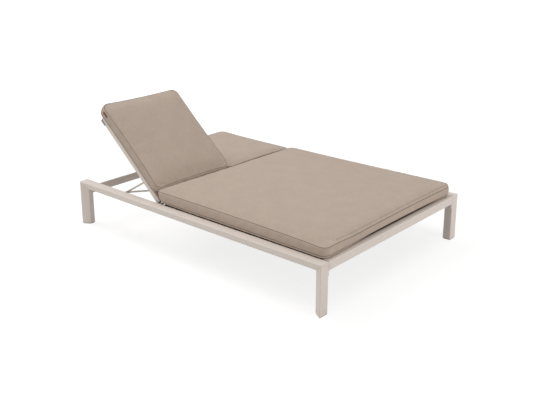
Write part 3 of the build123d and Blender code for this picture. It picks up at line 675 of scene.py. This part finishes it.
def hump(value, middle, width):
    """A smooth rise to one at the middle and back to nothing."""
    share = min(abs(value - middle) / width, 1)
    return (1 + cos(pi * share)) / 2


def seat_top(a, b):
    """The seat cushion is a little twisted, so two opposite corners stand higher; its foot end sinks."""
    return SEAT_TWIST * a * b - FOOT_SINK * towards(a, 8)


def seat_under(a, b):
    """Its lower seam lifts off the foot rail and off the right side rail towards the head."""
    foot = SEAT_FOOT_LIFT * hump(b, FOOT_LIFT_MIDDLE, FOOT_LIFT_WIDTH) * towards(a, 6)
    head = SEAT_HEAD_LIFT * towards(-2 * a - 1, 1.3) * towards(-b, 4)
    return foot + head


def flat_top(a, b):
    """The lying back cushion has sunk along its outer side and stands up a little at the head."""
    return -FLAT_SINK * towards(b, 2) * (1 + a) / 2 + FLAT_RISE * towards(-a, 3)


def raised_top(a, b):
    """The raised back cushion is pressed a little thinner where it stands on the seat."""
    return -RAISED_PRESS * towards(a, 6)


def unchanged(a, b):
    """For a panel whose height stays as it is."""
    return 0.0


def seat_fold(b):
    """The seat's top panel is pulled over the foot end, except at the near corner."""
    rise = min(1.0, max(0.0, (b - FOLD_START) / FOLD_RISE))
    return rise * rise * (3 - 2 * rise) * min(1.0, (1 - b) / FOLD_END)


def unfolded(b):
    """For a cushion whose top panel ends at its seam."""
    return 0.0


def make_cushions():
    """The seat cushion and the two back cushions, with the tag on the right one."""
    seat = CushionForm((SEAT_FOOT - SEAT_HEAD) / 2, SEAT_HALF, SEAT_HEIGHT, SEAT_CROWN, SEAT_DRAW, 0.0,
                       seat_shape, (seat_top, seat_under, seat_fold))
    make_cushion("seat_cushion", seat, "frame", SEAT_FILL, SEAT_THREAD_AND_SHADE)
    for hand, top in (("right", raised_top), ("left", flat_top)):
        back = CushionForm(BACK_LENGTH / 2, (BACK_OUTER - BACK_INNER) / 2, BACK_HEIGHT, BACK_CROWN, BACK_DRAW,
                           LOWER_ROLL[hand], back_shape(hand), (top, unchanged, unfolded))
        cover = make_cushion(f"back_cushion_{hand}", back, f"cushion_{hand}", BACK_FILL, BACK_THREAD_AND_SHADE)
        if hand == "right":
            make_tag(cover)


def tag_places(cover):
    """Gives the function from a place on the tag to a place on the cover's skin."""
    graph = bpy.context.evaluated_depsgraph_get()
    graph.update()
    skin = cover.evaluated_get(graph)
    along = BACK_START["right"] + BACK_LENGTH - TAG_FROM_END
    up = BACK_UNDER + BACK_HEIGHT - TAG_FROM_SEAM
    outside = -2 * BACK_OUTER

    def place(x, z, proud):
        s, n = along + x, up + z
        start = Vector((HINGE_X - cos(RAISE) * s + sin(RAISE) * n, outside,
                        HINGE_Z + sin(RAISE) * s + cos(RAISE) * n))
        _, spot, normal, _ = skin.ray_cast(start, Vector((0, 1, 0)))
        return spot + normal * proud
    return place


def tag_outline(p, q):
    """Moves a place of the unit square into the tag's outline with round corners."""
    x, z = p * TAG_LONG / 2, q * TAG_HIGH / 2
    return outline_place(x, z, TAG_LONG / 2, TAG_HIGH / 2, 0.0, TAG_CORNER)


def make_tag(cover):
    """Blank leather tag, sewn flat to the border of the cushion."""
    place = tag_places(cover)
    count_x, count_z = TAG_CELLS
    points, faces = [], []
    for proud, shrink in TAG_LAYERS:
        for i in range(count_x + 1):
            for j in range(count_z + 1):
                x, z = tag_outline(2 * i / count_x - 1, 2 * j / count_z - 1)
                size = shrink if i in (0, count_x) or j in (0, count_z) else 1
                points.append(place(x * size, z * size, proud))
    across = count_z + 1

    def vertex(layer, i, j):
        return (layer * (count_x + 1) + i) * across + j
    for i in range(count_x):
        for j in range(count_z):
            faces.append((vertex(2, i, j), vertex(2, i, j + 1), vertex(2, i + 1, j + 1), vertex(2, i + 1, j)))
            faces.append((vertex(0, i, j), vertex(0, i + 1, j), vertex(0, i + 1, j + 1), vertex(0, i, j + 1)))
    edge = inner_ring([[(i, j) for j in range(count_z + 1)] for i in range(count_x + 1)], 0)
    for layer in (0, 1):
        for k in range(len(edge)):
            here, after = edge[k], edge[(k + 1) % len(edge)]
            faces.append((vertex(layer, *here), vertex(layer + 1, *here), vertex(layer + 1, *after),
                          vertex(layer, *after)))
    used = sorted({v for face in faces for v in face})
    number = {v: k for k, v in enumerate(used)}
    mesh = bpy.data.meshes.new("leather_tag")
    mesh.from_pydata([points[v] for v in used], [], [tuple(number[v] for v in face) for face in faces])
    mesh.materials.append(LEATHER)
    mesh.shade_smooth()
    tag = add_object("leather_tag", mesh)
    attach(tag, "cushion_right")
    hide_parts("cushion_tag")
    add_tag_stitches(place)


def add_tag_stitches(place):
    """A row of short stitches just inside the edge of the tag."""
    half_x, half_z = TAG_LONG / 2 - TAG_STITCH_INSET, TAG_HIGH / 2 - TAG_STITCH_INSET
    whole = 4 * (half_x + half_z)
    edges = ((2 * half_x, -half_x, -half_z, 1, 0), (2 * half_z, half_x, -half_z, 0, 1),
             (2 * half_x, half_x, half_z, -1, 0), (2 * half_z, -half_x, half_z, 0, -1))

    def spot(run):
        run %= whole
        for side_long, x, z, step_x, step_z in edges:
            if run <= side_long:
                return place(x + step_x * run, z + step_z * run, TAG_THICK)
            run -= side_long
    points, faces, sides = [], [], TAG_THREAD_SIDES
    for k in range(TAG_STITCHES):
        start, end = spot(whole * k / TAG_STITCHES), spot(whole * (k + TAG_STITCH_SHARE) / TAG_STITCHES)
        along = (end - start).normalized()
        normal = along.orthogonal().normalized()
        other = along.cross(normal)
        first = len(points)
        for share, size in TAG_STITCH_RINGS:
            for j in range(sides):
                angle = 2 * pi * j / sides
                out = (normal * cos(angle) + other * sin(angle)) * TAG_THREAD * size
                points.append(start.lerp(end, share) + out)
        last = len(TAG_STITCH_RINGS) - 1
        for ring in range(last):
            for j in range(sides):
                a, b = first + ring * sides + j, first + ring * sides + (j + 1) % sides
                faces.append((a, b, b + sides, a + sides))
        faces.append(tuple(range(first + sides - 1, first - 1, -1)))
        faces.append(tuple(range(first + last * sides, first + (last + 1) * sides)))
    places = [[(0.0, 0.0)] * len(face) for face in faces]
    stitches = cloth_piece("leather_tag_stitches", points, faces, places, LEATHER_THREAD)
    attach(stitches, "cushion_right")


# Surroundings

def seen_rays(tree):
    """One for rays of the camera and of glossy reflections, which see the surroundings white."""
    path = node(tree, "ShaderNodeLightPath")
    return node(tree, "ShaderNodeMath", {0: path.outputs["Is Camera Ray"], 1: path.outputs["Is Glossy Ray"]},
                operation="MAXIMUM").outputs[0]


def make_floor():
    """A pale floor that shows nearly white to the camera and keeps the soft shadow."""
    mesh = bpy.data.meshes.new("floor")
    corners = [(x * FLOOR_HALF, y * FLOOR_HALF, 0) for x, y in ((-1, -1), (1, -1), (1, 1), (-1, 1))]
    mesh.from_pydata(corners, [], [(0, 1, 2, 3)])
    floor = add_object("floor", mesh)
    made, tree, shader = material("floor_look")
    shader.inputs["Base Color"].default_value = FLOOR_COLOUR
    shader.inputs["Roughness"].default_value = 0.9
    seen = seen_rays(tree)
    pale = node(tree, "ShaderNodeBsdfDiffuse", {"Color": SHADOW_GREY})
    place = node(tree, "ShaderNodeTexCoord").outputs["Object"]
    away = node(tree, "ShaderNodeVectorMath", {0: place}, operation="LENGTH").outputs["Value"]
    light = node(tree, "ShaderNodeMapRange", {"Value": away, "From Min": FLOOR_NEAR, "From Max": FLOOR_FAR,
                                              "To Min": FLOOR_DIM, "To Max": FLOOR_WHITE})
    glow = node(tree, "ShaderNodeEmission", {"Color": (1, 1, 1, 1), "Strength": light.outputs["Result"]})
    shown = node(tree, "ShaderNodeAddShader", {0: pale.outputs[0], 1: glow.outputs[0]})
    mixed = node(tree, "ShaderNodeMixShader", {"Fac": seen, 1: shader.outputs[0], 2: shown.outputs[0]})
    tree.links.new(mixed.outputs[0], tree.nodes["Material Output"].inputs["Surface"])
    mesh.materials.append(made)


def make_world():
    """Even pale surroundings, white where the camera or a gloss sees them."""
    world = bpy.data.worlds.new("studio")
    bpy.context.scene.world = world
    world.use_nodes = True
    tree = world.node_tree
    seen = seen_rays(tree)
    soft = node(tree, "ShaderNodeBackground", {"Color": SURROUND_COLOUR, "Strength": SURROUND})
    white = node(tree, "ShaderNodeBackground", {"Color": (1, 1, 1, 1), "Strength": 1.0})
    mixed = node(tree, "ShaderNodeMixShader", {"Fac": seen, 1: soft.outputs[0], 2: white.outputs[0]})
    tree.links.new(mixed.outputs[0], tree.nodes["World Output"].inputs["Surface"])


def make_lamps():
    """Large round lamps that light the object softly."""
    for name, place, size, power in LAMPS:
        lamp = bpy.data.lights.new(name, "AREA")
        lamp.shape = "DISK"
        lamp.size = size
        lamp.energy = power
        lamp.color = LAMP_COLOUR
        holder = add_object(name, lamp)
        holder.location = place
        holder.rotation_euler = (Vector(LAMP_AIM) - Vector(place)).to_track_quat("-Z", "Y").to_euler()


def make_camera():
    """The photograph's viewing angle."""
    lens = bpy.data.cameras.new("camera")
    lens.sensor_width = SENSOR
    lens.lens = LENS
    lens.shift_x, lens.shift_y = SHIFT_X, SHIFT_Y
    camera = add_object("camera", lens)
    camera.location = CAMERA_PLACE
    level = cos(CAMERA_PITCH)
    ahead = Vector((cos(CAMERA_YAW) * level, sin(CAMERA_YAW) * level, -sin(CAMERA_PITCH)))
    camera.rotation_euler = ahead.to_track_quat("-Z", "Y").to_euler()
    bpy.context.scene.camera = camera


make_camera()
make_world()
make_lamps()
make_floor()
dress_nodes()
make_cushions()
bpy.context.scene.view_settings.view_transform = "Standard"
bpy.context.view_layer.update()
